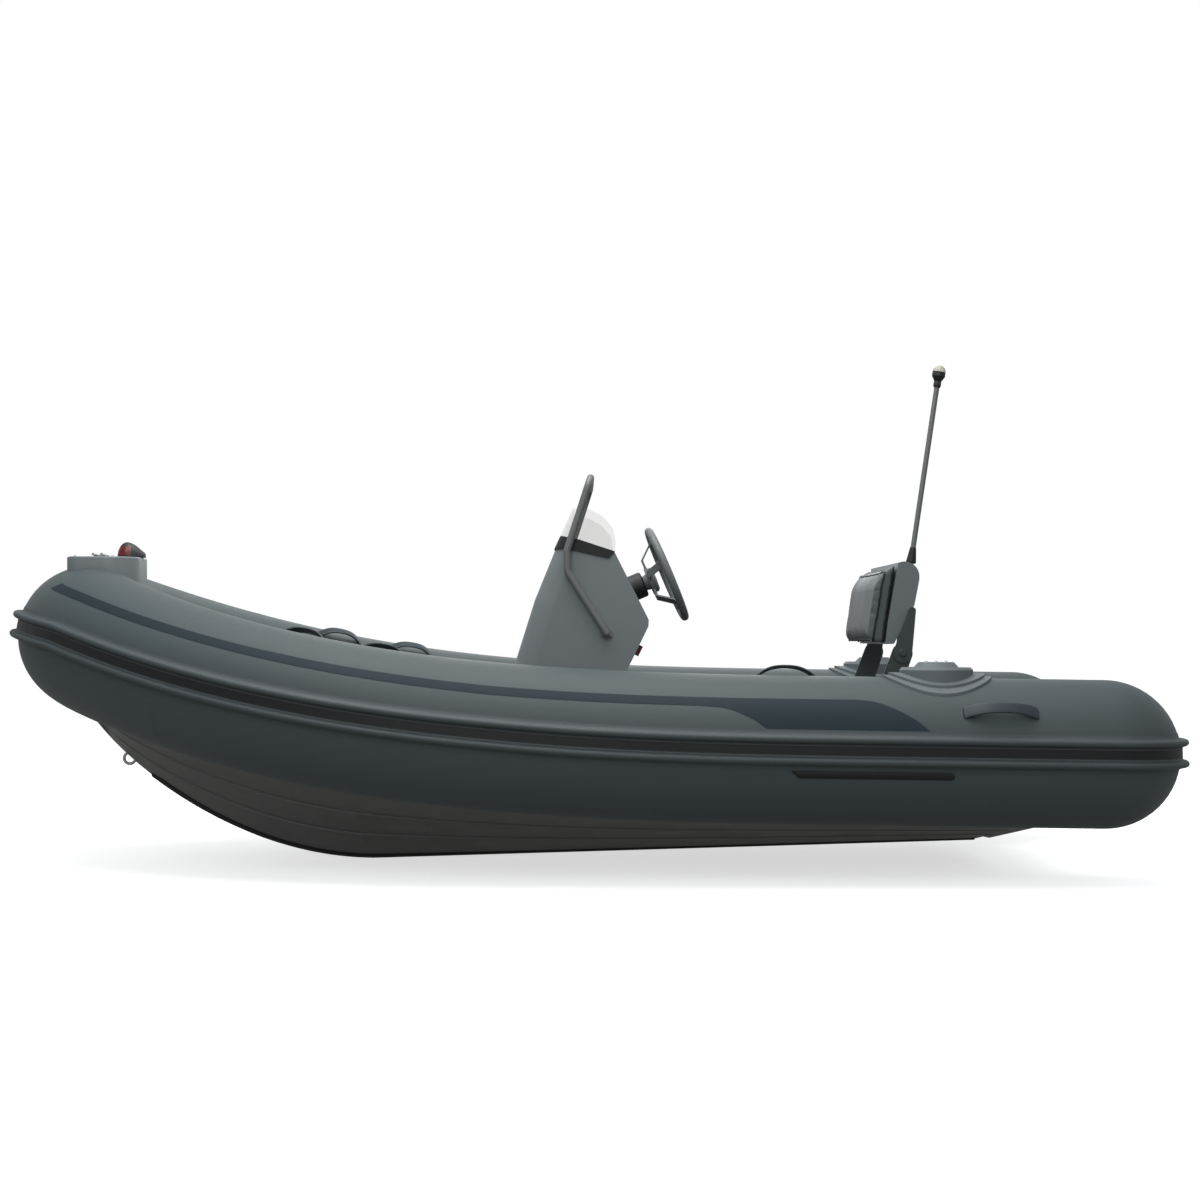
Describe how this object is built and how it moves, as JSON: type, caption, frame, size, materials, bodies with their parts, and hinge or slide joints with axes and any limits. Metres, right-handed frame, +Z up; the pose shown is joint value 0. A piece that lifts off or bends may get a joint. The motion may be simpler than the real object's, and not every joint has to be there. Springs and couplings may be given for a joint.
{
  "type": "rigid inflatable boat",
  "caption": "Small rigid inflatable boat with a steering console, windscreen, handrail, helm seat with a folding backrest, grab handles and a light pole",
  "frame": {"origin": "Amidships on the centreline at the height of the water, at the waterline mount", "axes": "+X forward to the bow, +Y to port, +Z up"},
  "size_m": [3.9896, 1.9702, 1.765],
  "materials": {
    "black_plastic": "moulded plastic",
    "black_rubber": "black rubber",
    "clear_sheet": "clear sheet",
    "dark_metal": "powder coat",
    "gelcoat": "satin gelcoat",
    "handle_rubber": "moulded rubber",
    "lamp_lens": "clear lens",
    "nav_plastic": "dark lens",
    "pad_rubber": "moulded rubber",
    "rail_rubber": "moulded rubber",
    "steel": "stainless steel",
    "tube_fabric": "matt coated fabric",
    "upholstery": "marine vinyl",
    "upholstery_shell": "marine vinyl",
    "wheel_grip": "soft plastic"
  },
  "bodies": {
    "boat": {"bow_cleat": "steel", "bow_eye": "steel", "bow_locker": "gelcoat", "bow_step": "pad_rubber", "chafe_strip_port": "black_rubber", "chafe_strip_starboard": "black_rubber", "cockpit_sole": "gelcoat", "collar_bow": "tube_fabric", "collar_port": "tube_fabric", "collar_starboard": "tube_fabric", "console": "gelcoat", "drain_fitting": "black_plastic", "grab_handles_port": "handle_rubber", "grab_handles_starboard": "handle_rubber", "handrail": "dark_metal", "helm_bezel": "black_plastic", "hull": "gelcoat", "inflation_valves": "black_plastic", "keel_guard": "black_rubber", "light_base": "black_plastic", "light_lens": "lamp_lens", "light_pole": "dark_metal", "light_stanchion": "dark_metal", "locker_hinges": "steel", "motor_plate": "black_plastic", "nav_light": "nav_plastic", "pole_collar": "black_plastic", "rub_rail_bow": "rail_rubber", "rub_rail_port": "rail_rubber", "rub_rail_starboard": "rail_rubber", "seat_box": "gelcoat", "seat_cushion": "upholstery", "seat_plate_port": "dark_metal", "seat_plate_starboard": "dark_metal", "stanchion_base": "black_plastic", "step_pad_port": "pad_rubber", "step_pad_starboard": "pad_rubber", "stern_eyes": "steel", "stop_switch": "black_plastic", "transom": "gelcoat", "windscreen": "clear_sheet", "windscreen_gasket": "black_rubber"},
    "wheel": {"steering_wheel": "wheel_grip", "wheel_cap": "black_plastic"},
    "backrest": {"backrest_arm_port": "dark_metal", "backrest_arm_starboard": "dark_metal", "backrest_cushion": "upholstery", "backrest_shell": "upholstery_shell"},
    "locker_lid": {"bow_locker_lid": "gelcoat"}
  },
  "joints": [
    {"name": "steering", "type": "hinge", "parent": "boat", "child": "wheel", "pos_m": [-0.3435, 0, 0.8345], "axis": [-0.9205, 0, 0.3907], "range_deg": [-540, 540]},
    {"name": "backrest_fold", "type": "hinge", "parent": "boat", "child": "backrest", "pos_m": [-1.135, 0, 0.554], "axis": [0, 1, 0], "range_deg": [0, 86]},
    {"name": "locker_lid_hinge", "type": "hinge", "parent": "boat", "child": "locker_lid", "pos_m": [1.253, 0, 0.4673], "axis": [0, 1, 0], "range_deg": [0, 100]}
  ]
}
